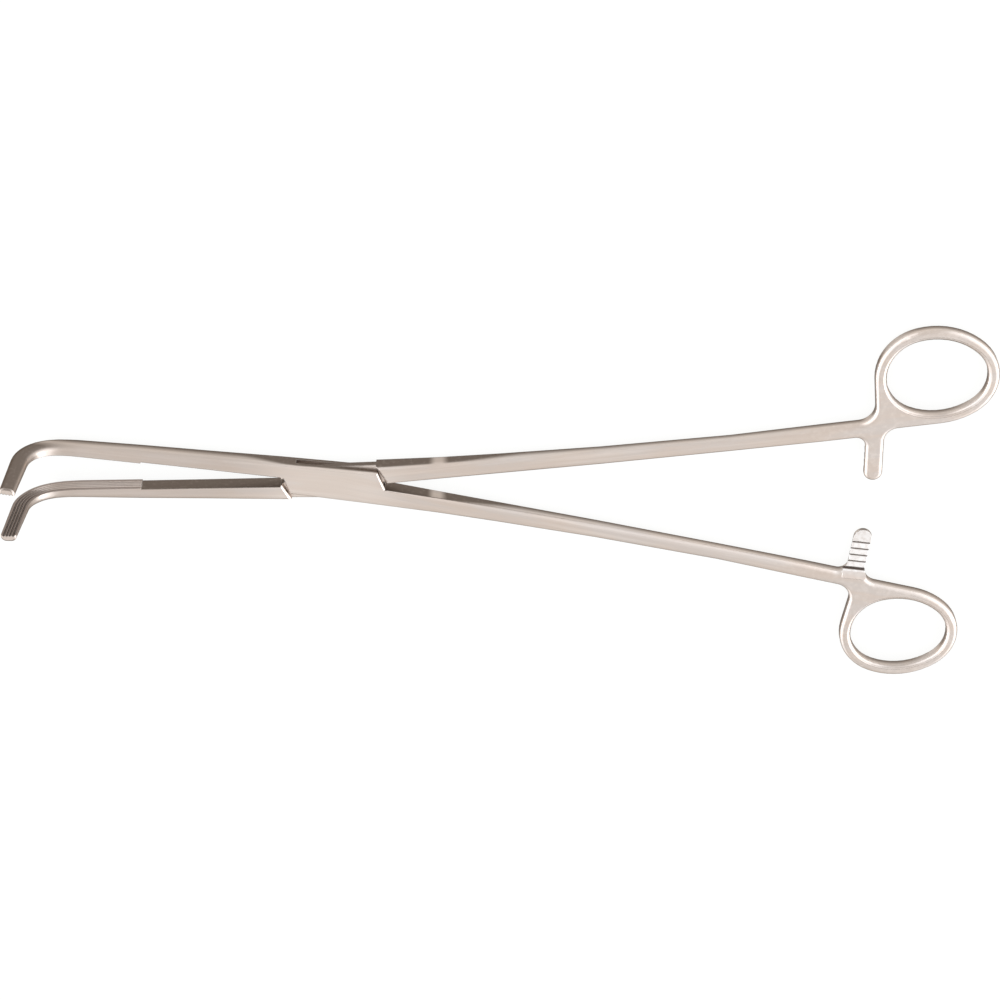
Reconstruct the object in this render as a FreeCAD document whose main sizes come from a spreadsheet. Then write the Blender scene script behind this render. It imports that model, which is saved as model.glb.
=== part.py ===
import FreeCAD, Part
import math
import os

import Sketcher
from FreeCAD import Placement, Rotation, Vector

# Right-angle thoracic forceps with a box lock.
# Each half is drawn closed, in a frame of its own: origin on the hinge axis at mid thickness,
# +X towards the finger rings, +Y to the outer side, +Z the way the jaw tips point.
# The plane Y = 0 is the one in which the two jaws meet.
# Placements then open each half by its rest angle and stand the underside on Z = 0.

SIZES = {
    # Opening at rest, each half from the middle, in degrees
    "rest_angle": 4.2,
    # Box lock
    "box_thick": 6.0,
    "box_end": 17.0,
    "box_front_half": 5.32,
    "box_rear_half": 6.02,
    "box_round": 1.0,
    "slot_thick": 2.2,
    "slot_play": 0.05,
    "slot_inner": 16.3,
    "slot_lean": 4.0,
    "slot_end_gap": 0.3,
    "wall_inner": 16.3,
    "wall_lean": 3.2,
    "shoulder_gap": 0.35,
    "wall_bevel": 0.45,
    "shoulder_bevel": 0.7,
    "pin_radius": 1.7,
    "pin_play": 0.05,
    # Jaw
    "face_gap": 0.05,
    "jaw_mid_at": 40.0,
    "jaw_mid_depth": 4.95,
    "jaw_mid_width": 5.7,
    "jaw_mid_round": 1.7,
    "pad_at": 61.5,
    "pad_depth": 4.5,
    "pad_width": 5.6,
    "pad_round": 2.0,
    "pad_height": 0.42,
    "bend_at": 81.1,
    "bend_wide_radius": 35.6,
    "bend_wide_angle": 12.5,
    "bend_radius": 12.3,
    "bend_depth": 3.7,
    "bend_width": 5.8,
    "bend_round": 2.0,
    "tip_angle": 86.7,
    "tip_length": 17.7,
    "tip_depth": 2.2,
    "tip_width": 4.9,
    "tip_round": 1.7,
    "tip_edge": 0.45,
    "groove_count": 4,
    "groove_pitch": 0.98,
    "groove_width": 0.72,
    "groove_depth": 0.36,
    "groove_spill": 0.1,
    "groove_runout": 1.0,
    # Shank stations: place along X, distance from the middle, width, thickness, edge rounds
    "root_inner_round": 0.3,
    "neck_at": 34.0,
    "neck_off": 3.98,
    "neck_width": 5.65,
    "neck_thick": 5.6,
    "neck_outer_round": 1.5,
    "neck_inner_round": 1.0,
    "fore_at": 53.0,
    "fore_off": 5.2,
    "fore_width": 5.5,
    "fore_thick": 5.2,
    "fore_outer_round": 1.75,
    "fore_inner_round": 1.45,
    "waist_at": 85.0,
    "waist_off": 7.45,
    "waist_width": 5.1,
    "waist_thick": 4.65,
    "waist_outer_round": 1.7,
    "waist_inner_round": 1.7,
    "rear_at": 126.0,
    "rear_off": 11.05,
    "rear_width": 4.75,
    "rear_thick": 4.25,
    "rear_outer_round": 1.6,
    "rear_inner_round": 1.6,
    # Ring head
    "head_at": 155.0,
    "head_off": 14.15,
    "head_slope": 6.3,
    "head_width": 5.1,
    "head_thick": 4.3,
    "head_round": 1.4,
    # Finger ring: an oval of two side arcs and two end arcs, each end a little under the half width
    "ring_from_head": 33.7,
    "ring_off": 34.0,
    "ring_turn": -3.8,
    "ring_half_width": 13.1,
    "ring_side_radius": 19.8,
    "ring_web_trim": 0.37,
    "ring_far_trim": 1.9,
    "ring_wire": 3.6,
    "mouth_bevels": 3,
    "web_lean": 4.2,
    "web_blend": 5.5,
    "bar_fore_blend": 3.0,
    "bar_rear_blend": 4.6,
    # Ratchet bar
    "bar_from_head": 16.1,
    "bar_width": 5.9,
    "bar_reach": 2.8,
    "bar_gap": 0.08,
    "tooth_count": 5,
    "tooth_pitch": 2.4,
    "tooth_height": 0.8,
    "tooth_first": 4.6,
    "tooth_steep": 0.7,
    "ramp_length": 2.6,
    "cut_margin": 1.4,
    # Reach of the cutting prisms past the metal
    "overshoot": 4.0,
}

UP = Vector(0, 0, 1)
QUARTER_TURN = 90
SAME_SPOT = 1e-3

doc = FreeCAD.newDocument("thoracic_forceps")
sheet = doc.addObject("Spreadsheet::Sheet", "Sizes")
for row, (alias, value) in enumerate(SIZES.items(), start=1):
    sheet.set(f"A{row}", alias)
    sheet.set(f"B{row}", str(value))
    sheet.setAlias(f"B{row}", alias)
doc.recompute()
derived_row = len(SIZES)


def derive(alias, formula):
    """Adds a cell worked out from the driving ones."""
    global derived_row
    derived_row += 1
    sheet.set(f"A{derived_row}", alias)
    sheet.set(f"B{derived_row}", "=" + formula)
    sheet.setAlias(f"B{derived_row}", alias)


def size(name):
    """Value of a sheet cell, by its alias, with an optional minus sign."""
    if name.startswith("-"):
        return -float(sheet.get(name[1:]))
    return float(sheet.get(name))


def cell(name):
    """Expression that reads a sheet cell, with an optional minus sign."""
    if name.startswith("-"):
        return "-Sizes." + name[1:]
    return "Sizes." + name


# Worked-out sizes of the box lock

derive("zero", "0")
derive("reach", "box_end + overshoot")
derive("far_side", "box_rear_half + overshoot")
derive("tongue_thick", "slot_thick - 2 * slot_play")
derive("bore_radius", "pin_radius + pin_play")
for stem, base, lean in (("wall", "wall_inner", "wall_lean"),
                         ("slot", "slot_inner", "slot_lean"),
                         ("tongue", "slot_inner - slot_end_gap", "slot_lean"),
                         ("shoulder", "wall_inner + shoulder_gap", "wall_lean")):
    derive(stem + "_base", base)
    derive(stem + "_far", f"{base} - {lean} * far_side / box_rear_half")

# Worked-out sizes of the jaw: stations round the bend, by their turn and their length along the path

derive("relief_fore", "-pad_at")
derive("relief_rear", "-box_end")
derive("relief_face", "face_gap + pad_height")
derive("wide_run", "bend_wide_radius * bend_wide_angle * pi / 180")
derive("tight_turn", "tip_angle - bend_wide_angle")
derive("tight_run", "bend_radius * tight_turn * pi / 180")
derive("whole_run", "wide_run + tight_run + tip_length")
BEND_STATIONS = []


def bend_station(stem, along, rise, turn, run):
    """Cells of one jaw section, its form taken between bend and tip by the length run so far."""
    derive(stem + "_at", along)
    derive(stem + "_rise", rise)
    derive(stem + "_angle", turn)
    for kind in ("depth", "width", "round"):
        derive(f"{stem}_{kind}", f"bend_{kind} + (tip_{kind} - bend_{kind}) * ({run}) / whole_run")
    BEND_STATIONS.append(stem)


for stem, part_of in (("wide1", "1 / 2"), ("wide2", "1")):
    turn = f"bend_wide_angle * {part_of}"
    bend_station(stem, f"bend_at + bend_wide_radius * sin({turn})",
                 f"bend_wide_radius * (1 - cos({turn}))", turn, f"wide_run * {part_of}")
for stem, part_of in (("tight1", "1 / 4"), ("tight2", "2 / 4"), ("tight3", "3 / 4"), ("tight4", "1")):
    turn = f"(bend_wide_angle + tight_turn * {part_of})"
    bend_station(stem, f"wide2_at + bend_radius * (sin({turn}) - sin(bend_wide_angle))",
                 f"wide2_rise + bend_radius * (cos(bend_wide_angle) - cos({turn}))",
                 turn, f"wide_run + tight_run * {part_of}")
bend_station("end", "tight4_at + tip_length * cos(tip_angle)",
             "tight4_rise + tip_length * sin(tip_angle)", "tip_angle", "whole_run")
derive("nose_at", "end_at + tip_edge * cos(tip_angle)")
derive("nose_rise", "end_rise + tip_edge * sin(tip_angle)")
derive("nose_angle", "tip_angle")
derive("nose_depth", "tip_depth - tip_edge")
derive("nose_width", "tip_width - 2 * tip_edge")
derive("nose_round", "tip_round - tip_edge")

# Worked-out sizes of the shank: half widths, and the slope at each station from its neighbours

derive("root_half", "(box_rear_half - face_gap) / 2")
derive("root_off", "(box_rear_half + face_gap) / 2")
derive("root_slope", "0")
derive("root_at", "box_end")
derive("head_half", "head_width / 2")
for stem, before, after in (("neck", "root", "fore"), ("fore", "neck", "waist"),
                            ("waist", "fore", "rear"), ("rear", "waist", "head")):
    derive(f"{stem}_half", f"{stem}_width / 2")
    derive(f"{stem}_slope", f"atan(({after}_off - {before}_off) / ({after}_at - {before}_at)) / 1 deg")

# Worked-out sizes of the ring, in its own axes: first axis away from the web, origin where it is widest

derive("ring_at", "head_at + ring_from_head")
derive("bar_at", "head_at + bar_from_head")
derive("web_end_radius", "ring_half_width - ring_web_trim")
derive("far_end_radius", "ring_half_width - ring_far_trim")
derive("side_centre", "ring_side_radius - ring_half_width")
derive("web_centre", "-sqrt((ring_side_radius - web_end_radius) ^ 2 - side_centre ^ 2)")
derive("far_centre", "sqrt((ring_side_radius - far_end_radius) ^ 2 - side_centre ^ 2)")
derive("rim_web_radius", "web_end_radius + ring_wire")
derive("rim_far_radius", "far_end_radius + ring_wire")
derive("rim_side_radius", "ring_side_radius + ring_wire")

# Mouth of the ring: bevels that follow a quarter round, from the face down to the straight wall

MOUTH_LEVELS = []
derive("mouth_half_step", f"{QUARTER_TURN} / (2 * mouth_bevels + 2)")
for level in range(int(size("mouth_bevels")) + 1):
    stem = f"mouth{level}"
    derive(stem + "_turn", f"mouth_half_step * (2 * {level} + 1)")
    derive(stem + "_height", f"head_thick / 2 - head_round * (1 - cos({stem}_turn) / cos(mouth_half_step))")
    derive(stem + "_spread", f"head_round * (1 - sin({stem}_turn) / cos(mouth_half_step))")
    derive(stem + "_side", f"ring_side_radius + {stem}_spread")
    derive(stem + "_web", f"web_end_radius + {stem}_spread")
    derive(stem + "_far", f"far_end_radius + {stem}_spread")
    MOUTH_LEVELS.append(stem)
derive("mouth_beyond", "head_thick / 2 + cut_margin")

# Where the lower edge of the web and its side edge touch the rim

derive("under_turn", "head_slope - ring_turn")
derive("under_u", "rim_side_radius * sin(under_turn)")
derive("under_v", "side_centre - rim_side_radius * cos(under_turn)")
derive("side_turn", "web_lean - ring_turn")
derive("side_u", "web_centre - rim_web_radius * cos(side_turn)")
derive("side_v", "-rim_web_radius * sin(side_turn)")
for stem in ("under", "side"):
    derive(stem + "_x", f"ring_at + {stem}_u * cos(ring_turn) - {stem}_v * sin(ring_turn)")
    derive(stem + "_y", f"ring_off + {stem}_u * sin(ring_turn) + {stem}_v * cos(ring_turn)")

# Corners of the web between shank, ring and bar

derive("start_outer_x", "head_at - head_half * sin(head_slope)")
derive("start_outer_y", "head_off + head_half * cos(head_slope)")
derive("start_inner_x", "head_at + head_half * sin(head_slope)")
derive("start_inner_y", "head_off - head_half * cos(head_slope)")
derive("bar_fore_x", "bar_at - bar_width / 2")
derive("bar_rear_x", "bar_at + bar_width / 2")
derive("bar_end_y", "bar_width / 2 - bar_reach")
derive("fore_corner_y", "start_inner_y + (bar_fore_x - start_inner_x) * tan(head_slope)")
derive("rear_corner_y", "under_y + (bar_rear_x - under_x) * tan(head_slope)")
derive("side_rise", "side_y - start_outer_y + start_outer_x * tan(head_slope)")
derive("side_corner_x", "(side_x + side_rise * tan(web_lean)) / (1 + tan(head_slope) * tan(web_lean))")
derive("side_corner_y", "start_outer_y + (side_corner_x - start_outer_x) * tan(head_slope)")
doc.recompute()


# Helpers for the document's objects

def new_body(name):
    return doc.addObject("PartDesign::Body", name)


def new_sketch(body, name, role):
    """Sketch on one of the body's own origin planes."""
    sketch = body.newObject("Sketcher::SketchObject", name)
    plane = next(item for item in body.Origin.OriginFeatures if item.Role == role)
    sketch.AttachmentSupport = [(plane, "")]
    sketch.MapMode = "FlatFace"
    return sketch


def bind_constraint(sketch, label, text, constraint):
    """Adds a dimension to a sketch and ties it to an expression."""
    index = sketch.addConstraint(constraint)
    sketch.renameConstraint(index, label)
    sketch.setExpression("Constraints." + label, text)


def polygon(sketch, corners):
    """Closed outline with straight sides, each corner a pair of sheet names."""
    places = [Vector(size(across), size(up), 0) for across, up in corners]
    count = len(places)
    for index, start in enumerate(places):
        sketch.addGeometry(Part.LineSegment(start, places[(index + 1) % count]), False)
    first = sketch.GeometryCount - count
    for index, (across, up) in enumerate(corners):
        line = first + index
        sketch.addConstraint(Sketcher.Constraint("Coincident", line, 2, first + (index + 1) % count, 1))
        spot = places[index]
        bind_constraint(sketch, f"across_{line}", cell(across),
                        Sketcher.Constraint("DistanceX", -1, 1, line, 1, spot.x))
        bind_constraint(sketch, f"up_{line}", cell(up),
                        Sketcher.Constraint("DistanceY", -1, 1, line, 1, spot.y))


def arc(across, up, radius, start, stop):
    """Arc of a circle in a sketch, its ends in degrees."""
    circle = Part.Circle(Vector(across, up, 0), UP, radius)
    return Part.ArcOfCircle(circle, math.radians(start), math.radians(stop))


def rounded_section(sketch, inner, outer, thick, outer_round, inner_round=None):
    """Rectangle about the X axis from inner to outer, with rounded outer and perhaps inner corners."""
    low = size(inner)
    high = size(outer)
    half = size(thick) / 2
    big = size(outer_round)
    small = size(inner_round) if inner_round else 0.0
    edges = [
        Part.LineSegment(Vector(low + small, -half, 0), Vector(high - big, -half, 0)),
        arc(high - big, big - half, big, -QUARTER_TURN, 0),
        Part.LineSegment(Vector(high, big - half, 0), Vector(high, half - big, 0)),
        arc(high - big, half - big, big, 0, QUARTER_TURN),
        Part.LineSegment(Vector(high - big, half, 0), Vector(low + small, half, 0)),
    ]
    if inner_round:
        edges += [
            arc(low + small, half - small, small, QUARTER_TURN, 2 * QUARTER_TURN),
            Part.LineSegment(Vector(low, half - small, 0), Vector(low, small - half, 0)),
            arc(low + small, small - half, small, 2 * QUARTER_TURN, 3 * QUARTER_TURN),
        ]
    else:
        edges.append(Part.LineSegment(Vector(low, half, 0), Vector(low, -half, 0)))
    for edge in edges:
        sketch.addGeometry(edge, False)
    for index, edge in enumerate(edges):
        after = (index + 1) % len(edges)
        smooth = isinstance(edge, Part.ArcOfCircle) or isinstance(edges[after], Part.ArcOfCircle)
        kind = "Tangent" if smooth else "Coincident"
        sketch.addConstraint(Sketcher.Constraint(kind, index, 2, after, 1))
    side = 6 if inner_round else 5
    sketch.addConstraint(Sketcher.Constraint("Horizontal", 0))
    sketch.addConstraint(Sketcher.Constraint("Horizontal", 4))
    sketch.addConstraint(Sketcher.Constraint("Vertical", side))
    sketch.addConstraint(Sketcher.Constraint("Equal", 1, 3))
    if inner_round:
        sketch.addConstraint(Sketcher.Constraint("Equal", 5, 7))
    sketch.addConstraint(Sketcher.Constraint("Symmetric", 2, 1, 2, 2, -1))
    bind_constraint(sketch, "inner", cell(inner), Sketcher.Constraint("DistanceX", -1, 1, side, 1, low))
    bind_constraint(sketch, "outer", cell(outer), Sketcher.Constraint("DistanceX", -1, 1, 2, 1, high))
    bind_constraint(sketch, "thick", cell(thick), Sketcher.Constraint("DistanceY", 0, 2, 4, 1, 2 * half))
    bind_constraint(sketch, "round", cell(outer_round), Sketcher.Constraint("Radius", 1, big))
    if inner_round:
        bind_constraint(sketch, "inner_round", cell(inner_round), Sketcher.Constraint("Radius", 5, small))


def oval(sketch, side, web, far):
    """Oval of four touching arcs about the ring's own axes, from the sheet names of their radii."""
    depth = size("side_centre")
    web_at = size("web_centre")
    far_at = size("far_centre")
    far_join = math.degrees(math.atan2(depth, far_at))
    web_join = math.degrees(math.atan2(depth, web_at))
    for edge in (arc(far_at, 0, size(far), -far_join, far_join),
                 arc(0, -depth, size(side), far_join, web_join),
                 arc(web_at, 0, size(web), web_join, 4 * QUARTER_TURN - web_join),
                 arc(0, depth, size(side), -web_join, -far_join)):
        sketch.addGeometry(edge, False)
    for index in range(4):
        sketch.addConstraint(Sketcher.Constraint("Tangent", index, 2, (index + 1) % 4, 1))
    sketch.addConstraint(Sketcher.Constraint("PointOnObject", 0, 3, -1))
    sketch.addConstraint(Sketcher.Constraint("PointOnObject", 2, 3, -1))
    sketch.addConstraint(Sketcher.Constraint("PointOnObject", 1, 3, -2))
    sketch.addConstraint(Sketcher.Constraint("Equal", 1, 3))
    for index, name in ((0, far), (1, side), (2, web)):
        bind_constraint(sketch, name, cell(name), Sketcher.Constraint("Radius", index, size(name)))
    bind_constraint(sketch, "centre", cell("-side_centre"),
                    Sketcher.Constraint("DistanceY", -1, 1, 1, 3, -depth))


def loft(body, name, sections):
    feature = body.newObject("PartDesign::AdditiveLoft", name)
    feature.Profile = sections[0]
    feature.Sections = sections[1:]
    return feature


def pocket(body, name, sketch):
    """Cut right through the thickness, both ways from the sketch."""
    feature = body.newObject("PartDesign::Pocket", name)
    feature.Profile = sketch
    feature.Type = "ThroughAll"
    feature.Midplane = True
    return feature


def pad(body, name, sketch, length):
    """Raise an outline by half the length each way from the sketch."""
    feature = body.newObject("PartDesign::Pad", name)
    feature.Profile = sketch
    feature.Midplane = True
    feature.setExpression("Length", length)
    return feature


def part_object(kind, name):
    return doc.addObject("Part::" + kind, name)


def fuse(name, shapes):
    feature = part_object("MultiFuse", name)
    feature.Shapes = shapes
    return feature


def cut_away(name, base, tool):
    feature = part_object("Cut", name)
    feature.Base = base
    feature.Tool = tool
    return feature


def cylinder(name, radius, height):
    """Upright cylinder about the hinge axis, centred on mid thickness."""
    feature = part_object("Cylinder", name)
    feature.setExpression("Radius", radius)
    feature.setExpression("Height", height)
    feature.setExpression("Placement.Base.z", f"-({height}) / 2")
    return feature


def prism(name, corners, low, high):
    """Upright prism on its own body, its corners pairs of sheet names."""
    body = new_body(name)
    sketch = new_sketch(body, name + "_outline", "XY_Plane")
    polygon(sketch, corners)
    raised = body.newObject("PartDesign::Pad", name + "_pad")
    raised.Profile = sketch
    raised.setExpression("Length", f"({high}) - ({low})")
    body.setExpression("Placement.Base.z", low)
    return body


def rounded_edges(name, base, radius, wanted):
    """Fillet on the edges that the test picks."""
    doc.recompute()
    picked = [
        (number, radius, radius)
        for number, edge in enumerate(base.Shape.Edges, start=1)
        if wanted(edge)
    ]
    feature = part_object("Fillet", name)
    feature.Base = base
    feature.Edges = picked
    return feature


# Jaw

def jaw_path(offset, start):
    """Line, two arcs and a line in the meeting plane, moved across the face by offset."""
    wide = size("bend_wide_radius")
    tight = size("bend_radius")
    first = math.radians(size("bend_wide_angle"))
    last = math.radians(size("tip_angle"))
    wide_centre = Vector(-size("bend_at"), 0, wide)
    tight_centre = wide_centre + Vector(-math.sin(first), 0, -math.cos(first)) * (wide - tight)

    def on_arc(centre, radius, angle):
        return centre + Vector(-math.sin(angle), 0, -math.cos(angle)) * (radius - offset)

    line_end = on_arc(wide_centre, wide, 0)
    join = on_arc(tight_centre, tight, first)
    arc_end = on_arc(tight_centre, tight, last)
    tip = arc_end + Vector(-math.cos(last), 0, math.sin(last)) * (size("tip_length") + size("groove_runout"))
    edges = [
        Part.makeLine(Vector(-start, 0, offset), line_end),
        Part.Arc(line_end, on_arc(wide_centre, wide, first / 2), join).toShape(),
        Part.Arc(join, on_arc(tight_centre, tight, (first + last) / 2), arc_end).toShape(),
        Part.makeLine(arc_end, tip),
    ]
    return Part.Wire(edges)


def groove_cutters():
    """V grooves that run the length of the gripping pad and out at the tip."""
    face = size("face_gap")
    floor = face + size("groove_depth")
    mouth = face - size("groove_spill")
    spread = size("groove_width") / 2 * (floor - mouth) / size("groove_depth")
    start = size("pad_at") - size("groove_runout")
    count = int(size("groove_count"))
    cutters = []
    for index in range(count):
        offset = (index - (count - 1) / 2) * size("groove_pitch")
        profile = Part.makePolygon([
            Vector(-start, mouth, offset - spread),
            Vector(-start, mouth, offset + spread),
            Vector(-start, floor, offset),
            Vector(-start, mouth, offset - spread),
        ])
        cutters.append(jaw_path(offset, start).makePipeShell([profile], True, False))
    feature = part_object("Feature", "jaw_grooves")
    feature.Shape = Part.makeCompound(cutters)
    return feature


def make_jaw():
    """Tapering arm, bend and tip with a relieved meeting face and a grooved pad."""
    stations = [
        ("box_end", "zero", "zero", "box_front_half", "box_thick", "box_round"),
        ("jaw_mid_at", "zero", "zero", "jaw_mid_depth", "jaw_mid_width", "jaw_mid_round"),
        ("pad_at", "zero", "zero", "pad_depth", "pad_width", "pad_round"),
        ("bend_at", "zero", "zero", "bend_depth", "bend_width", "bend_round"),
    ]
    for stem in BEND_STATIONS + ["nose"]:
        kinds = ("at", "rise", "angle", "depth", "width", "round")
        stations.append(tuple(f"{stem}_{kind}" for kind in kinds))
    body = new_body("jaw_form")
    sections = []
    for number, (along, rise, angle, depth, width, rounding) in enumerate(stations):
        sketch = new_sketch(body, f"jaw_section_{number}", "YZ_Plane")
        sketch.AttachmentOffset = Placement(
            Vector(0, size(rise), -size(along)), Rotation(Vector(1, 0, 0), size(angle)))
        sketch.setExpression("AttachmentOffset.Base.z", cell("-" + along))
        sketch.setExpression("AttachmentOffset.Base.y", cell(rise))
        if angle != "zero":
            sketch.setExpression("AttachmentOffset.Rotation.Angle", cell(angle))
        rounded_section(sketch, "face_gap", depth, width, rounding)
        sections.append(sketch)
    bend_first = 3
    bend_last = bend_first + len(BEND_STATIONS) - 1
    for name, first, last in (("arm", 0, bend_first), ("bend", bend_first, bend_last),
                              ("tip", bend_last, bend_last + 1), ("nose", bend_last + 1, bend_last + 2)):
        feature = loft(body, name + "_loft", sections[first:last + 1])
        feature.Ruled = name != "bend"
        doc.recompute()
    relief = new_sketch(body, "relief_outline", "XY_Plane")
    polygon(relief, [("relief_fore", "-overshoot"), ("relief_fore", "relief_face"),
                     ("relief_rear", "relief_face"), ("relief_rear", "-overshoot")])
    pocket(body, "relief", relief)
    doc.recompute()
    return cut_away("jaw", body, groove_cutters())


# Shank

def make_shank():
    """Tapering rod from the box to the ring head."""
    body = new_body("shank")
    stations = [("root", "box_thick", "box_round", "root_inner_round")]
    for stem in ("neck", "fore", "waist", "rear"):
        stations.append((stem, f"{stem}_thick", f"{stem}_outer_round", f"{stem}_inner_round"))
    stations.append(("head", "head_thick", "head_round", "head_round"))
    sections = []
    for stem, thick, outer, inner in stations:
        sketch = new_sketch(body, f"shank_{stem}_section", "YZ_Plane")
        sketch.AttachmentOffset = Placement(
            Vector(size(stem + "_off"), 0, size(stem + "_at")),
            Rotation(Vector(0, 1, 0), size(stem + "_slope")))
        sketch.setExpression("AttachmentOffset.Base.x", cell(stem + "_off"))
        sketch.setExpression("AttachmentOffset.Base.z", cell(stem + "_at"))
        if stem != "root":
            sketch.setExpression("AttachmentOffset.Rotation.Angle", cell(stem + "_slope"))
        rounded_section(sketch, f"-{stem}_half", f"{stem}_half", thick, outer, inner)
        sections.append(sketch)
    loft(body, "shank_loft", sections).Ruled = True
    return body


# Ring head

def place_on_ring(body):
    """Sets a body drawn in the ring's own axes where the ring is."""
    body.Placement = Placement(Vector(size("ring_at"), size("ring_off"), 0), Rotation(UP, size("ring_turn")))
    body.setExpression("Placement.Base.x", cell("ring_at"))
    body.setExpression("Placement.Base.y", cell("ring_off"))
    return body


def make_rim():
    """Plate with the ring's outer outline."""
    body = new_body("rim")
    sketch = new_sketch(body, "rim_outline", "XY_Plane")
    oval(sketch, "rim_side_radius", "rim_web_radius", "rim_far_radius")
    pad(body, "rim_pad", sketch, cell("head_thick"))
    return place_on_ring(body)


def make_ring_hole():
    """Form of the finger hole, flared at both mouths."""
    body = new_body("ring_hole")
    levels = [("mouth_beyond", MOUTH_LEVELS[0])]
    levels += [(stem + "_height", stem) for stem in MOUTH_LEVELS]
    levels += [("-" + height, stem) for height, stem in reversed(levels)]
    sections = []
    for number, (height, stem) in enumerate(levels):
        sketch = new_sketch(body, f"ring_hole_section_{number}", "XY_Plane")
        sketch.AttachmentOffset = Placement(Vector(0, 0, size(height)), Rotation())
        sketch.setExpression("AttachmentOffset.Base.z", cell(height))
        oval(sketch, stem + "_side", stem + "_web", stem + "_far")
        sections.append(sketch)
    loft(body, "ring_hole_loft", sections).Ruled = True
    return place_on_ring(body)


def make_web():
    """Flat web that joins shank, ring and ratchet bar."""
    body = new_body("web")
    outline = new_sketch(body, "web_outline", "XY_Plane")
    polygon(outline, [("start_outer_x", "start_outer_y"), ("start_inner_x", "start_inner_y"),
                      ("bar_fore_x", "fore_corner_y"), ("bar_fore_x", "bar_end_y"),
                      ("bar_rear_x", "bar_end_y"), ("bar_rear_x", "rear_corner_y"),
                      ("under_x", "under_y"), ("ring_at", "ring_off"),
                      ("side_x", "side_y"), ("side_corner_x", "side_corner_y")])
    pad(body, "web_pad", outline, cell("head_thick"))
    return body


def upright_at(x_name, y_name):
    """Test for an upright edge that stands on the named corner."""
    spot = Vector(size(x_name), size(y_name), 0)

    def wanted(edge):
        ends = [Vector(vertex.X, vertex.Y, 0) for vertex in edge.Vertexes]
        return all(end.distanceToPoint(spot) < SAME_SPOT for end in ends)
    return wanted


def on_faces(half, start):
    """Test for an edge of the front or back face, but for the one where the shank joins."""
    def wanted(edge):
        box = edge.BoundBox
        flat = box.ZLength < SAME_SPOT and abs(abs(box.ZMin) - half) < SAME_SPOT
        middle = edge.CenterOfMass
        return flat and Vector(middle.x, middle.y, 0).distanceToPoint(start) > SAME_SPOT
    return wanted


def tooth_cutter():
    """Prism that leaves saw teeth on one side of the bar, and the ramp at its root."""
    gap = size("bar_gap")
    deep = gap + size("tooth_height")
    below = -size("head_thick")
    beyond_end = -size("bar_reach") - size("overshoot")
    corners = [(beyond_end, below), (beyond_end, gap)]
    for number in range(int(size("tooth_count"))):
        crest = size("tooth_first") - size("bar_reach") + number * size("tooth_pitch")
        corners.append((crest, gap))
        corners.append((crest + size("tooth_steep"), deep))
    ramp_end = corners[-1][0] + size("ramp_length")
    corners.append((ramp_end, -size("head_thick") / 2))
    corners.append((ramp_end, below))
    low_x = size("bar_fore_x") - size("cut_margin")
    high_x = size("bar_rear_x") + size("cut_margin")
    profile = [Vector(low_x, along, height) for along, height in corners]
    face = Part.Face(Part.makePolygon(profile + profile[:1]))
    feature = part_object("Feature", "tooth_cutter")
    feature.Shape = face.extrude(Vector(high_x - low_x, 0, 0))
    return feature


def make_head():
    """Finger ring, web and ratchet bar, flat forged and rounded along every edge."""
    bar_end = cylinder("bar_end", cell("bar_width") + " / 2", cell("head_thick"))
    bar_end.setExpression("Placement.Base.x", cell("bar_at"))
    bar_end.setExpression("Placement.Base.y", cell("bar_end_y"))
    head = fuse("head_blank", [make_web(), make_rim(), bar_end])
    head.Refine = True
    for name, x_name, y_name in (("web_blend", "side_corner_x", "side_corner_y"),
                                 ("bar_fore_blend", "bar_fore_x", "fore_corner_y"),
                                 ("bar_rear_blend", "bar_rear_x", "rear_corner_y")):
        head = rounded_edges(name, head, size(name), upright_at(x_name, y_name))
    start = Vector(size("head_at"), size("head_off"), 0)
    head = rounded_edges("head_rounded", head, size("head_round"), on_faces(size("head_thick") / 2, start))
    head = cut_away("head_open", head, make_ring_hole())
    return cut_away("head", head, tooth_cutter())


# Box lock

def make_block(name):
    """Full block of the lock before it is slotted or stepped."""
    body = new_body(name)
    sections = []
    for end, along, half in (("front", "-box_end", "box_front_half"), ("rear", "box_end", "box_rear_half")):
        sketch = new_sketch(body, f"{name}_{end}_section", "YZ_Plane")
        sketch.AttachmentOffset = Placement(Vector(0, 0, size(along)), Rotation())
        sketch.setExpression("AttachmentOffset.Base.z", cell(along))
        rounded_section(sketch, "-" + half, half, "box_thick", "box_round", "box_round")
        sections.append(sketch)
    loft(body, name + "_loft", sections)
    doc.recompute()
    return body


def corner_cut(body, name, stem, sign):
    """Areas past the leaning lines at the rear and at the front, the rear one on the side of the sign.

    The two are each other's image through the hinge."""
    sketch = new_sketch(body, name + "_outline", "XY_Plane")
    up = "" if sign > 0 else "-"
    down = "-" if sign > 0 else ""
    polygon(sketch, [(stem + "_base", down + "face_gap"), (stem + "_far", up + "far_side"),
                     ("reach", up + "far_side"), ("reach", down + "face_gap")])
    polygon(sketch, [(f"-{stem}_base", up + "face_gap"), (f"-{stem}_far", down + "far_side"),
                     ("-reach", down + "far_side"), ("-reach", up + "face_gap")])
    return sketch


def between_lines(stem, up, down):
    """Corners of the area from the front leaning line on one side to the rear one on the other.

    Up and down are the minus signs, if any, of those two sides."""
    return [(f"-{stem}_base", "zero"), (f"-{stem}_far", up + "far_side"),
            ("reach", up + "far_side"), ("reach", "zero"),
            (stem + "_base", "zero"), (stem + "_far", down + "far_side"),
            ("-reach", down + "far_side"), ("-reach", "zero")]


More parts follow.
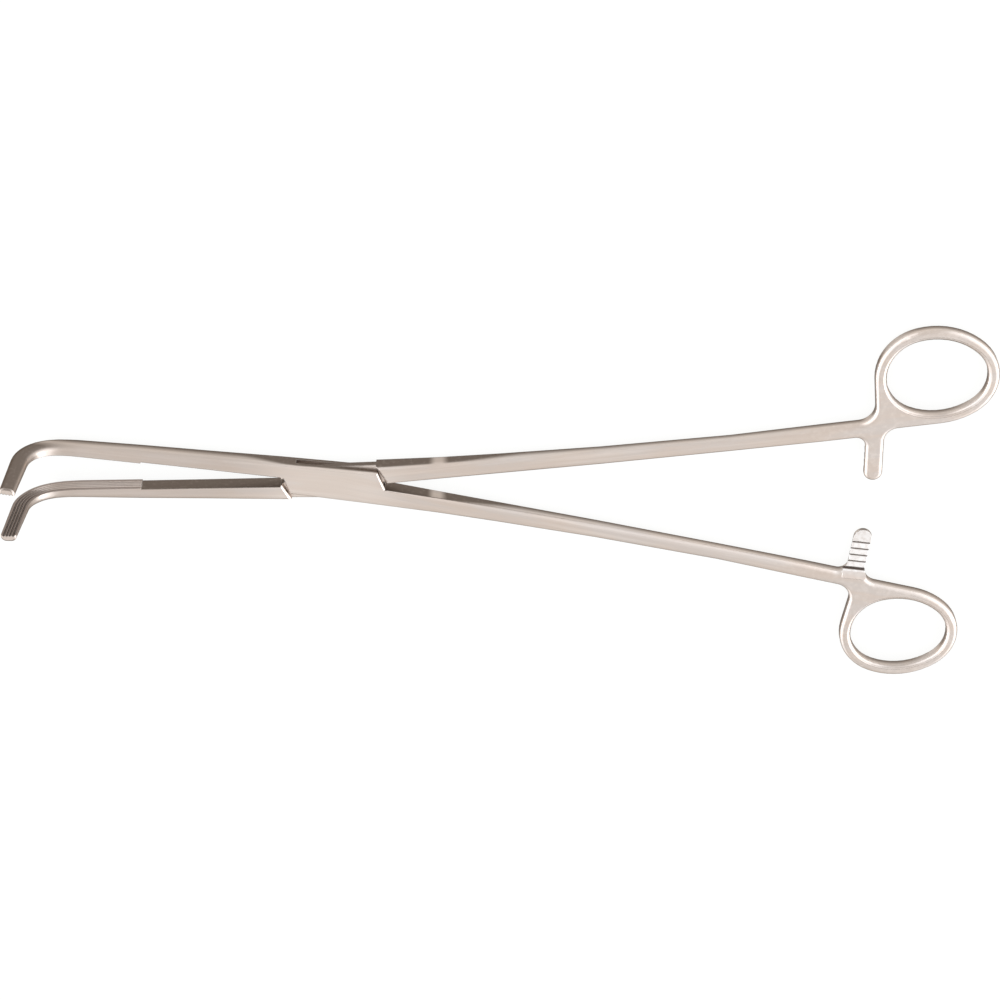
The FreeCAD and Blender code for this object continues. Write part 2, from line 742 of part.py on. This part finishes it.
def bevel_wedges(name, stem, depth, into):
    """Wedges that bevel both leaning lines, front and back; into is +1 where the metal lies outside them."""
    half = size("box_thick") / 2
    spare = size("box_round")
    wedges = []
    for end in (1, -1):
        start = Vector(end * size(stem + "_base"), -end * size("face_gap"), 0)
        stop = Vector(end * size(stem + "_far"), end * size("far_side"), 0)
        way = (stop - start).normalize()
        out = Vector(way.y, -way.x, 0)
        if out.x * end * into < 0:
            out = -out
        for face in (1, -1):
            corners = [
                start + out * (depth + spare) + Vector(0, 0, face * (half + spare)),
                start - out * spare + Vector(0, 0, face * (half + spare)),
                start - out * spare + Vector(0, 0, face * (half - depth - spare)),
            ]
            triangle = Part.Face(Part.makePolygon(corners + corners[:1]))
            wedges.append(triangle.extrude(stop - start))
    feature = part_object("Feature", name)
    feature.Shape = Part.makeCompound(wedges)
    return feature


def make_female_box():
    """Two walls with a slot between them, and the pin's bore."""
    body = make_block("female_block")
    pocket(body, "wall_ends", corner_cut(body, "wall_ends", "wall", 1))
    bevelled = cut_away("wall_bevelled", body, bevel_wedges("wall_wedges", "wall", size("wall_bevel"), -1))
    slot = prism("slot", between_lines("slot", "", "-"), "-Sizes.slot_thick / 2", "Sizes.slot_thick / 2")
    slotted = cut_away("female_slotted", bevelled, slot)
    return cut_away("female_box", slotted, cylinder("wall_bore", cell("pin_radius"), cell("box_thick")))


def make_male_box():
    """Tongue that fills the slot, shouldered on both faces, with a clear bore."""
    body = make_block("male_block")
    pocket(body, "tongue_ends", corner_cut(body, "tongue_ends", "tongue", -1))
    outline = between_lines("shoulder", "-", "")
    front = prism("front_cheek", outline, "Sizes.tongue_thick / 2", "Sizes.box_thick")
    back = prism("back_cheek", outline, "-Sizes.box_thick", "-Sizes.tongue_thick / 2")
    stepped = cut_away("male_stepped", body, fuse("cheeks", [front, back]))
    wedges = bevel_wedges("shoulder_wedges", "shoulder", size("shoulder_bevel"), 1)
    bevelled = cut_away("shoulder_bevelled", stepped, wedges)
    return cut_away("male_box", bevelled, cylinder("tongue_bore", cell("bore_radius"), cell("box_thick")))


# The three pieces

def finish(feature, turn):
    """Opens a half by its rest angle and lifts the underside to Z = 0."""
    feature.Placement = Placement(Vector(0, 0, size("box_thick") / 2), Rotation(UP, turn))
    feature.setExpression("Placement.Base.z", "Sizes.box_thick / 2")
    return feature


jaw = make_jaw()
handle = fuse("handle", [make_shank(), make_head()])

jaw_opposite = part_object("Mirroring", "jaw_opposite")
jaw_opposite.Source = jaw
jaw_opposite.Normal = Vector(0, 1, 0)
male_half = finish(fuse("male_half", [jaw_opposite, make_male_box(), handle]), size("rest_angle"))

handle_over = part_object("Compound", "handle_over")
handle_over.Links = [handle]
handle_over.Placement = Placement(Vector(), Rotation(Vector(1, 0, 0), 2 * QUARTER_TURN))
female_half = finish(fuse("female_half", [jaw, make_female_box(), handle_over]), -size("rest_angle"))

pivot_pin = part_object("Cylinder", "pivot_pin")
pivot_pin.setExpression("Radius", cell("pin_radius"))
pivot_pin.setExpression("Height", cell("box_thick"))

doc.recompute()
faults = [item.Label for item in doc.Objects if "Invalid" in item.State or "Error" in item.State]
if faults:
    raise RuntimeError("failed objects: " + ", ".join(faults))
os.makedirs("parts", exist_ok=True)
for node in (female_half, male_half, pivot_pin):
    shape = node.Shape
    if shape.isNull() or not shape.isValid() or len(shape.Solids) != 1:
        raise RuntimeError(f"{node.Label}: {len(shape.Solids)} solids, valid {shape.isValid()}")
    shape.exportStep(f"parts/{node.Label}.step")
    print(node.Label, round(shape.Volume, 1), shape.BoundBox)
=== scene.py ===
from math import cos, radians, sin

import bpy
from mathutils import Matrix, Vector

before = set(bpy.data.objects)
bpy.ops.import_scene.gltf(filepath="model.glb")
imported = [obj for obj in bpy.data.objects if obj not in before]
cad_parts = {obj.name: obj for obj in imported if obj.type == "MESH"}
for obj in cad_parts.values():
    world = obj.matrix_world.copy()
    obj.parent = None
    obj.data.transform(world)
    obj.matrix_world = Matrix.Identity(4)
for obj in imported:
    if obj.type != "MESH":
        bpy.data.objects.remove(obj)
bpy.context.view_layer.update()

# Lengths are in metres, in the frame of the part.
CAMERA_PLACE = (0.0296, 0.4423, 0.7479)
CAMERA_RIGHT = (0.9986, 0.0523, 0.0)
CAMERA_UP = (-0.0449, 0.8560, -0.5150)
CAMERA_LENS = 97.8
CAMERA_CLIP = (0.01, 100.0)
SENSOR_WIDTH = 36.0

FLOOR_HALF = 12.0
FLOOR_WHITE = (0.93, 0.925, 0.915, 1.0)
FLOOR_GLOW = (1.0, 1.0, 0.99, 1.0)
FLOOR_GLOW_SHARE = 0.88

ROOM_WHITE = (0.90, 0.895, 0.89, 1.0)
ROOM_ENDS = (1.95, 2.05, 2.18, 1.0)
# Share of x in a direction where the room starts to grow brighter, and where it is at its brightest
ROOM_ENDS_AT = (0.18, 0.55)

LAMPS = {"end_light_rings": (1.6, -0.5, 0.6), "end_light_tips": (-1.5, -0.5, 0.6)}
LAMP_TARGET = (0.05, 0.0, 0.0)
LAMP_SIZE = (1.2, 0.8)
LAMP_POWER = 6.0

# Colours of the steel, linear
STEEL_WARM = (0.655, 0.556, 0.487, 1.0)
STEEL_COOL = (0.600, 0.532, 0.485, 1.0)
STEEL_STREAK = (0.800, 0.710, 0.640, 1.0)
# Painted highlight along the rounded edges
STEEL_EDGE_HIGHLIGHT = (0.900, 0.860, 0.820, 1.0)
STEEL_DULL = (0.480, 0.400, 0.345, 1.0)
# Painted shade on the sides, backward faces, upturned pads and rims, in place of the dark reflection they would show
STEEL_SIDE_SHADE = (0.200, 0.163, 0.138, 1.0)
STEEL_PAD = (0.370, 0.303, 0.270, 1.0)
# Painted shade in the grooves and on the ratchet's roots and steep flanks
STEEL_GROOVE_SHADE = (0.150, 0.118, 0.100, 1.0)
# Painted shade in crevices and where surfaces meet
STEEL_CREVICE_SHADE = (0.085, 0.066, 0.055, 1.0)
STEEL_RATCHET = (0.860, 0.820, 0.790, 1.0)
GRAZING_TINT = (0.22, 0.20, 0.185, 1.0)

# Each half is turned this far from its closed place at rest, and its shank leans further, in degrees.
HALF_OPEN = 4.2
SHANK_LEAN = 9.8

# In the pairs below a change starts at the first value and is complete at the second.
# Along x: brushing turns from jaw to shank, stands up at the tips and ends at the rings.
LEAN_AT = (-0.012, 0.012)
TIP_LINES_AT = (-0.082, -0.092)
RING_FINISH_AT = (0.135, 0.160)
# Along x: jaws grow dull away from the box. Distance from the pin along x: the box grows lighter.
JAW_DULL_AT = (-0.015, -0.040)
BOX_LIGHT_AT = (0.026, 0.010)

# Scales of the noises per metre, and how they are drawn out
CLOUD_SCALE = 230.0
CLOUD_STRETCH = (0.16, 1.0, 1.0)
LINE_SCALE = 1000.0
LINES_ALONG_X = (0.03, 1.6, 1.6)
LINES_ALONG_Z = (1.6, 1.6, 0.03)
HAND_SCALE = 700.0
SPECK_SCALE = 900.0

# The painted shade on the sides stands this high, and climbs near the joint by CLIMB between two places along x.
LOW_AT = (0.0044, 0.0018)
CLIMB_AT = (-0.0300, -0.0110)
SINK_AT = (0.0620, 0.0300)
CLIMB = 0.0032
UPTURNED_HEIGHT = (0.0035, 0.0070)
UPTURNED_AT = (-0.074, -0.088)
END_FACES_AT = (0.030, 0.034)
NOT_TIP_AT = (-0.074, -0.070)
# Painted highlight: a spot along x where the painted side shade gives way, in place of a lamp's reflection
SIDE_GLINT_AT = 0.0328
SIDE_GLINT_REACH = (0.0034, 0.00068)
# How far a face must look sideways, along x or backward to take the painted shade
SIDE_FACING = (0.74, 0.985)
SIDE_FACING_UPTURNED = (0.30, 0.85)
END_FACING = (0.82, 0.97)
BACK_FACING = (-0.50, -0.82)

# The pad starts at PAD_AT along x and the relieved face ends at the pin.
PAD_AT = -0.0613
PAD_BLUR = 0.0003
RELIEF_END_AT = (0.0005, -0.0005)
PAD_DEPTH = (-0.0011, -0.0007)
RELIEF_FACING = (0.80, 0.92)
PAD_ZONE_FACING = (0.2, 0.4)
PAD_FACING = (0.82, 0.93)
GROOVE_WALL_FACING = (0.55, 0.25)

# Corners of the box round the ratchet's toothed face, and the level strip at its root
TEETH_AT = ((0.1580, -0.0360, 0.0010), (0.1800, -0.0080, 0.0033))
TEETH_BLUR = 0.0001
STRIP_Y = (-0.0275, -0.0235)
STRIP_X = ((0.1610, 0.1635), (0.1745, 0.1720))
UPWARD_FACING = (0.3, 0.5)
FLANK_LEAN = (0.55, 0.70)
FLANK_FACING = (0.85, 0.75)
FLANK_HEIGHT = (0.00285, 0.00265)
ROOT_HEIGHT = (0.00230, 0.00216)

EDGE_SOFTNESS = 0.00030
PIN_CLEAR = (0.0021, 0.0026)
# The painted dark rim, a painted shade, lies where the softened normal leans sideways on faces that look up
RIM_LEAN = (0.02, 0.16)
RIM_FACING = (0.80, 0.95)
CREVICE_REACH = 0.0014
BUMP_HEIGHT = 0.00003


def new_material(name):
    material = bpy.data.materials.new(name)
    material.use_nodes = True
    material.node_tree.nodes.clear()
    return material


class Nodes:
    """Small helper for building a node tree."""

    def __init__(self, tree):
        self.tree = tree

    def add(self, kind, **settings):
        node = self.tree.nodes.new(kind)
        for name, value in settings.items():
            setattr(node, name, value)
        return node

    def join(self, source, target):
        self.tree.links.new(source, target)

    def feed(self, socket, value):
        """Links a socket, or sets a constant."""
        if isinstance(value, bpy.types.NodeSocket):
            self.join(value, socket)
        else:
            socket.default_value = value

    def math(self, operation, first, second=None):
        node = self.add("ShaderNodeMath", operation=operation)
        self.feed(node.inputs[0], first)
        if second is not None:
            self.feed(node.inputs[1], second)
        return node.outputs[0]

    def product(self, *values):
        result = values[0]
        for value in values[1:]:
            result = self.math("MULTIPLY", result, value)
        return result

    def greatest(self, *values):
        result = values[0]
        for value in values[1:]:
            result = self.math("MAXIMUM", result, value)
        return result

    def rest_of(self, share):
        return self.math("SUBTRACT", 1.0, share)

    def dot(self, vector, direction):
        node = self.add("ShaderNodeVectorMath", operation="DOT_PRODUCT")
        self.join(vector, node.inputs[0])
        self.feed(node.inputs[1], direction)
        return node.outputs["Value"]

    def split(self, vector):
        node = self.add("ShaderNodeSeparateXYZ")
        self.join(vector, node.inputs[0])
        return node.outputs

    def ramp(self, value, start, stop, low=0.0, high=1.0):
        """Smooth step of a value between start and stop."""
        node = self.add("ShaderNodeMapRange", interpolation_type="SMOOTHSTEP")
        self.feed(node.inputs["Value"], value)
        node.inputs["From Min"].default_value = start
        node.inputs["From Max"].default_value = stop
        node.inputs["To Min"].default_value = low
        node.inputs["To Max"].default_value = high
        return node.outputs["Result"]

    def blend(self, factor, first, second):
        """Mix of two colours."""
        node = self.add("ShaderNodeMix", data_type="RGBA")
        self.feed(node.inputs["Factor"], factor)
        self.feed(node.inputs["A"], first)
        self.feed(node.inputs["B"], second)
        return node.outputs["Result"]

    def mix(self, factor, first, second):
        """Mix of two numbers."""
        node = self.add("ShaderNodeMix", data_type="FLOAT")
        self.feed(node.inputs["Factor"], factor)
        self.feed(node.inputs["A"], first)
        self.feed(node.inputs["B"], second)
        return node.outputs["Result"]

    def noise(self, place, scale, stretch=(1.0, 1.0, 1.0), detail=3.0, roughness=0.6):
        mapping = self.add("ShaderNodeMapping")
        self.join(place, mapping.inputs["Vector"])
        mapping.inputs["Scale"].default_value = stretch
        node = self.add("ShaderNodeTexNoise")
        self.join(mapping.outputs["Vector"], node.inputs["Vector"])
        node.inputs["Scale"].default_value = scale
        node.inputs["Detail"].default_value = detail
        node.inputs["Roughness"].default_value = roughness
        return node.outputs["Fac"]


class Surface:
    """Places and directions on a piece, in its own frame."""

    def __init__(self, nodes):
        coordinates = nodes.add("ShaderNodeTexCoord")
        self.place = coordinates.outputs["Object"]
        self.normal = coordinates.outputs["Normal"]
        self.spot = nodes.split(self.place)
        self.facing = nodes.split(self.normal)
        self.beside = nodes.math("ABSOLUTE", self.spot["X"])
        self.outward = nodes.math("ABSOLUTE", self.facing["Y"])
        self.upturned = nodes.product(nodes.ramp(self.spot["Z"], *UPTURNED_HEIGHT),
                                      nodes.ramp(self.spot["X"], *UPTURNED_AT))


class Finish:
    """Cloudy tone of the hand finish, and brushing along each jaw and shank and up the tips."""

    def __init__(self, nodes, surface, turn):
        along = surface.spot["X"]
        lean = nodes.ramp(along, *LEAN_AT, radians(HALF_OPEN) * turn, radians(SHANK_LEAN) * turn)
        lined = nodes.add("ShaderNodeVectorRotate", rotation_type="Z_AXIS")
        nodes.join(surface.place, lined.inputs["Vector"])
        nodes.join(lean, lined.inputs["Angle"])
        self.cloud = nodes.noise(lined.outputs["Vector"], CLOUD_SCALE, CLOUD_STRETCH)
        self.along_x = nodes.noise(lined.outputs["Vector"], LINE_SCALE, LINES_ALONG_X)
        along_z = nodes.noise(surface.place, LINE_SCALE, LINES_ALONG_Z)
        self.hand = nodes.noise(surface.place, HAND_SCALE)
        brushed = nodes.mix(nodes.ramp(along, *TIP_LINES_AT), self.along_x, along_z)
        self.brushed = nodes.mix(nodes.ramp(along, *RING_FINISH_AT), brushed, self.hand)


class Grip:
    """Shares of a half's relieved face, pad and grooves. meeting is the outward normal of its gripping face."""

    def __init__(self, nodes, surface, meeting):
        along = surface.spot["X"]
        toward = nodes.dot(surface.normal, meeting)
        depth = nodes.dot(surface.place, meeting)
        self.relieved = nodes.product(nodes.ramp(toward, *RELIEF_FACING),
                                      nodes.ramp(along, PAD_AT, PAD_AT + PAD_BLUR),
                                      nodes.ramp(along, *RELIEF_END_AT))
        zone = nodes.product(nodes.ramp(along, PAD_AT, PAD_AT - PAD_BLUR),
                             nodes.ramp(depth, *PAD_DEPTH),
                             nodes.ramp(toward, *PAD_ZONE_FACING))
        self.pad = nodes.product(zone, nodes.ramp(toward, *PAD_FACING))
        self.groove = nodes.product(zone, nodes.ramp(toward, *reversed(PAD_FACING)),
                                    nodes.ramp(surface.facing["Z"], *GROOVE_WALL_FACING))


def polished_colour(nodes, surface, finish):
    """Cloudy and brushed steel, lighter on the box and duller on the jaws."""
    colour = nodes.blend(nodes.ramp(finish.cloud, 0.34, 0.66), STEEL_WARM, STEEL_COOL)
    colour = nodes.blend(nodes.ramp(finish.brushed, 0.42, 0.78, 0.0, 0.34), colour, STEEL_STREAK)
    colour = nodes.blend(nodes.ramp(surface.beside, *BOX_LIGHT_AT, 0.0, 0.40), colour, STEEL_STREAK)
    return nodes.blend(nodes.ramp(surface.spot["X"], *JAW_DULL_AT, 0.0, 0.50), colour, STEEL_DULL)


def side_shade_share(nodes, surface, grip):
    """Painted shade on the sides, in place of the dark reflection they would show: to its full height near the joint
    and only low down elsewhere, also on faces turned along x near the ends and on faces turned backward, and lifted
    at a painted highlight spot.
    """
    along = surface.spot["X"]
    climb = nodes.product(nodes.ramp(along, *CLIMB_AT), nodes.ramp(along, *SINK_AT, 0.0, CLIMB))
    low = nodes.ramp(nodes.math("SUBTRACT", surface.spot["Z"], climb), *LOW_AT)
    height = nodes.greatest(low, surface.upturned)
    if grip:
        height = nodes.greatest(height, grip.relieved)
    sideways = nodes.mix(surface.upturned, nodes.ramp(surface.outward, *SIDE_FACING),
                         nodes.ramp(surface.outward, *SIDE_FACING_UPTURNED))
    # Painted highlight spot on the sides, where the painted shade is lifted
    aside = nodes.math("ABSOLUTE", nodes.math("SUBTRACT", along, SIDE_GLINT_AT))
    side_glint = nodes.ramp(aside, *SIDE_GLINT_REACH, 0.0, 0.85)
    speck = nodes.noise(surface.place, SPECK_SCALE, detail=2.0, roughness=0.5)
    share = nodes.product(sideways, height, nodes.rest_of(side_glint), nodes.ramp(speck, 0.2, 0.5, 0.88, 1.0))

    endward = nodes.product(nodes.ramp(nodes.math("ABSOLUTE", surface.facing["X"]), *END_FACING, 0.0, 0.6),
                            nodes.ramp(surface.beside, *END_FACES_AT), nodes.ramp(along, *NOT_TIP_AT))
    backward = nodes.ramp(surface.facing["Y"], *BACK_FACING, 0.0, 0.95)
    share = nodes.greatest(share, endward, backward)
    if grip:
        share = nodes.product(share, nodes.rest_of(grip.pad))
    return share


def grip_colour(nodes, surface, finish, grip, colour):
    """Matte pad, with painted shade on the upturned pad and in the grooves."""
    matte = nodes.product(grip.pad, nodes.ramp(finish.along_x, 0.2, 0.6, 0.75, 1.0))
    colour = nodes.blend(matte, colour, STEEL_PAD)
    # Painted shade on the upturned pad and in the grooves
    colour = nodes.blend(nodes.product(grip.pad, surface.upturned, 0.45), colour, STEEL_SIDE_SHADE)
    return nodes.blend(grip.groove, colour, STEEL_GROOVE_SHADE)


def ratchet_colour(nodes, surface, finish, colour):
    """Bright toothed face, with painted shade on its roots and steep flanks."""
    spot = surface.spot
    upward = nodes.ramp(surface.facing["Z"], *UPWARD_FACING)
    teeth = upward
    for axis, lowest, highest in zip("XYZ", *TEETH_AT):
        teeth = nodes.product(teeth, nodes.ramp(spot[axis], lowest, lowest + TEETH_BLUR),
                              nodes.ramp(spot[axis], highest, highest - TEETH_BLUR))
    strip = nodes.product(nodes.ramp(spot["Y"], *STRIP_Y, 0.0, 0.7), upward,
                          nodes.ramp(spot["X"], *STRIP_X[0]), nodes.ramp(spot["X"], *STRIP_X[1]))
    bright = nodes.greatest(teeth, strip)
    colour = nodes.blend(nodes.product(bright, nodes.ramp(finish.hand, 0.3, 0.6, 0.55, 1.0)), colour, STEEL_RATCHET)
    flank = nodes.product(teeth, nodes.ramp(surface.outward, *FLANK_LEAN),
                          nodes.ramp(surface.facing["Z"], *FLANK_FACING), nodes.ramp(spot["Z"], *FLANK_HEIGHT))
    root = nodes.product(teeth, nodes.ramp(spot["Z"], *ROOT_HEIGHT))
    # Painted shade on the steep flanks and roots of the teeth
    return nodes.blend(nodes.greatest(flank, root), colour, STEEL_GROOVE_SHADE)


def softened_normal(nodes, surface):
    """Normal with rounded edges, except at the flush pin."""
    flat = nodes.add("ShaderNodeVectorMath", operation="MULTIPLY")
    nodes.join(surface.place, flat.inputs[0])
    flat.inputs[1].default_value = (1.0, 1.0, 0.0)
    from_pin = nodes.add("ShaderNodeVectorMath", operation="LENGTH")
    nodes.join(flat.outputs["Vector"], from_pin.inputs[0])
    soft = nodes.add("ShaderNodeBevel")
    soft.samples = 6
    nodes.join(nodes.ramp(from_pin.outputs["Value"], *PIN_CLEAR, 0.0, EDGE_SOFTNESS), soft.inputs["Radius"])
    return soft.outputs["Normal"]


def edge_light_and_shade(nodes, surface, soft, colour):
    """Painted highlights along edges, a painted dark rim beside the sides, and painted shade where surfaces meet."""
    true_normal = nodes.add("ShaderNodeNewGeometry").outputs["Normal"]
    rounding = nodes.rest_of(nodes.dot(true_normal, soft))
    # Painted highlight along rounded edges
    colour = nodes.blend(nodes.ramp(rounding, 0.03, 0.18, 0.0, 0.35), colour, STEEL_EDGE_HIGHLIGHT)
    own = nodes.add("ShaderNodeVectorTransform", vector_type="NORMAL", convert_from="WORLD", convert_to="OBJECT")
    nodes.join(soft, own.inputs["Vector"])
    leaning = nodes.math("ABSOLUTE", nodes.split(own.outputs["Vector"])["Y"])
    # Painted shade: a dark rim where the softened normal leans sideways
    rim = nodes.product(nodes.ramp(nodes.math("SUBTRACT", leaning, surface.outward), *RIM_LEAN),
                        nodes.ramp(surface.facing["Z"], *RIM_FACING))
    colour = nodes.blend(rim, colour, STEEL_SIDE_SHADE)
    # Painted shade in crevices and where surfaces meet, from ambient occlusion
    crevice = nodes.add("ShaderNodeAmbientOcclusion")
    crevice.samples = 8
    crevice.inputs["Distance"].default_value = CREVICE_REACH
    return nodes.blend(nodes.ramp(crevice.outputs["AO"], 0.05, 0.45, 1.0, 0.0), colour, STEEL_CREVICE_SHADE)


def satin_steel(name, meeting=None, turn=0.0, toothed=False):
    """Satin finished steel with painted shade on its sides, matte pads with painted shade in their grooves, painted
    highlights on its edges and painted shade in crevices.

    meeting is the outward normal of the half's gripping face, which holds the grooves, and turn is 1 or -1
    for the way that its brushing lines lean.
    """
    material = new_material(name)
    nodes = Nodes(material.node_tree)
    surface = Surface(nodes)
    finish = Finish(nodes, surface, turn)
    grip = Grip(nodes, surface, meeting) if meeting else None

    sides = side_shade_share(nodes, surface, grip)
    # Painted shade on the sides, backward faces and the relieved face
    colour = nodes.blend(sides, polished_colour(nodes, surface, finish), STEEL_SIDE_SHADE)
    if grip:
        colour = grip_colour(nodes, surface, finish, grip, colour)
    if toothed:
        colour = ratchet_colour(nodes, surface, finish, colour)
    soft = softened_normal(nodes, surface)
    colour = edge_light_and_shade(nodes, surface, soft, colour)

    roughness = nodes.math("ADD", nodes.ramp(finish.cloud, 0.3, 0.7, 0.25, 0.33), nodes.product(finish.brushed, 0.08))
    roughness = nodes.math("ADD", roughness, nodes.product(sides, 0.10))

    bump = nodes.add("ShaderNodeBump")
    bump.inputs["Strength"].default_value = 0.35
    bump.inputs["Distance"].default_value = BUMP_HEIGHT
    nodes.join(finish.brushed, bump.inputs["Height"])
    nodes.join(soft, bump.inputs["Normal"])

    shader = nodes.add("ShaderNodeBsdfPrincipled")
    shader.inputs["Metallic"].default_value = 1.0
    shader.inputs["Specular Tint"].default_value = GRAZING_TINT
    nodes.join(colour, shader.inputs["Base Color"])
    nodes.join(roughness, shader.inputs["Roughness"])
    nodes.join(bump.outputs["Normal"], shader.inputs["Normal"])
    output = nodes.add("ShaderNodeOutputMaterial")
    nodes.join(shader.outputs["BSDF"], output.inputs["Surface"])
    return material


def dress(node, material):
    """Gives a CAD node its material in every slot."""
    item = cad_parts[node]
    if not item.material_slots:
        item.data.materials.append(material)
    for slot in item.material_slots:
        slot.material = material


def make_floor():
    """Plain pale floor that looks white and keeps the object's shadow."""
    mesh = bpy.data.meshes.new("floor")
    half = FLOOR_HALF
    mesh.from_pydata([(-half, -half, 0), (half, -half, 0), (half, half, 0), (-half, half, 0)], [], [(0, 1, 2, 3)])
    floor = bpy.data.objects.new("floor", mesh)
    bpy.context.scene.collection.objects.link(floor)
    material = new_material("floor_white")
    nodes = Nodes(material.node_tree)
    paint = nodes.add("ShaderNodeBsdfDiffuse")
    paint.inputs["Color"].default_value = FLOOR_WHITE
    glow = nodes.add("ShaderNodeEmission")
    glow.inputs["Color"].default_value = FLOOR_GLOW
    path = nodes.add("ShaderNodeLightPath")
    seen = nodes.greatest(path.outputs["Is Camera Ray"], path.outputs["Is Glossy Ray"],
                          path.outputs["Is Transmission Ray"])
    mix = nodes.add("ShaderNodeMixShader")
    nodes.join(nodes.product(seen, FLOOR_GLOW_SHARE), mix.inputs["Fac"])
    nodes.join(paint.outputs["BSDF"], mix.inputs[1])
    nodes.join(glow.outputs["Emission"], mix.inputs[2])
    output = nodes.add("ShaderNodeOutputMaterial")
    nodes.join(mix.outputs["Shader"], output.inputs["Surface"])
    mesh.materials.append(material)


def make_world():
    """Studio walls: pale all round, brighter at both ends of the object, plain white to the camera."""
    world = bpy.data.worlds.new("studio")
    bpy.context.scene.world = world
    world.use_nodes = True
    world.node_tree.nodes.clear()
    nodes = Nodes(world.node_tree)
    way = nodes.add("ShaderNodeTexCoord").outputs["Generated"]
    ends = nodes.ramp(nodes.math("ABSOLUTE", nodes.split(way)["X"]), *ROOM_ENDS_AT)
    room = nodes.blend(ends, ROOM_WHITE, ROOM_ENDS)
    seen = nodes.add("ShaderNodeLightPath").outputs["Is Camera Ray"]
    background = nodes.add("ShaderNodeBackground")
    nodes.join(nodes.blend(seen, room, FLOOR_GLOW), background.inputs["Color"])
    background.inputs["Strength"].default_value = 1.0
    output = nodes.add("ShaderNodeOutputWorld")
    nodes.join(background.outputs["Background"], output.inputs["Surface"])


def make_lamp(name, place):
    """Soft area lamp aimed at the object."""
    data = bpy.data.lights.new(name, "AREA")
    data.shape = "RECTANGLE"
    data.size, data.size_y = LAMP_SIZE
    data.energy = LAMP_POWER
    lamp = bpy.data.objects.new(name, data)
    bpy.context.scene.collection.objects.link(lamp)
    lamp.location = place
    lamp.rotation_mode = "QUATERNION"
    lamp.rotation_quaternion = (Vector(LAMP_TARGET) - Vector(place)).to_track_quat("-Z", "Y")


def make_camera():
    """Camera of the photo, solved from its outlines."""
    data = bpy.data.cameras.new("camera")
    data.sensor_width = SENSOR_WIDTH
    data.lens = CAMERA_LENS
    data.clip_start, data.clip_end = CAMERA_CLIP
    camera = bpy.data.objects.new("camera", data)
    bpy.context.scene.collection.objects.link(camera)
    right = Vector(CAMERA_RIGHT).normalized()
    up = Vector(CAMERA_UP).normalized()
    back = right.cross(up).normalized()
    up = back.cross(right)
    turn = Matrix((right, up, back)).transposed()
    camera.matrix_world = Matrix.Translation(CAMERA_PLACE) @ turn.to_4x4()
    bpy.context.scene.camera = camera


make_camera()
make_world()
make_floor()
for lamp_name, lamp_place in LAMPS.items():
    make_lamp(lamp_name, lamp_place)

turned = radians(HALF_OPEN)
dress("male_half", satin_steel("tongue_steel", (-sin(turned), cos(turned), 0.0), -1.0))
dress("female_half", satin_steel("box_steel", (-sin(turned), -cos(turned), 0.0), 1.0, True))
dress("pivot_pin", satin_steel("pin_steel"))

bpy.context.scene.view_settings.view_transform = "Standard"
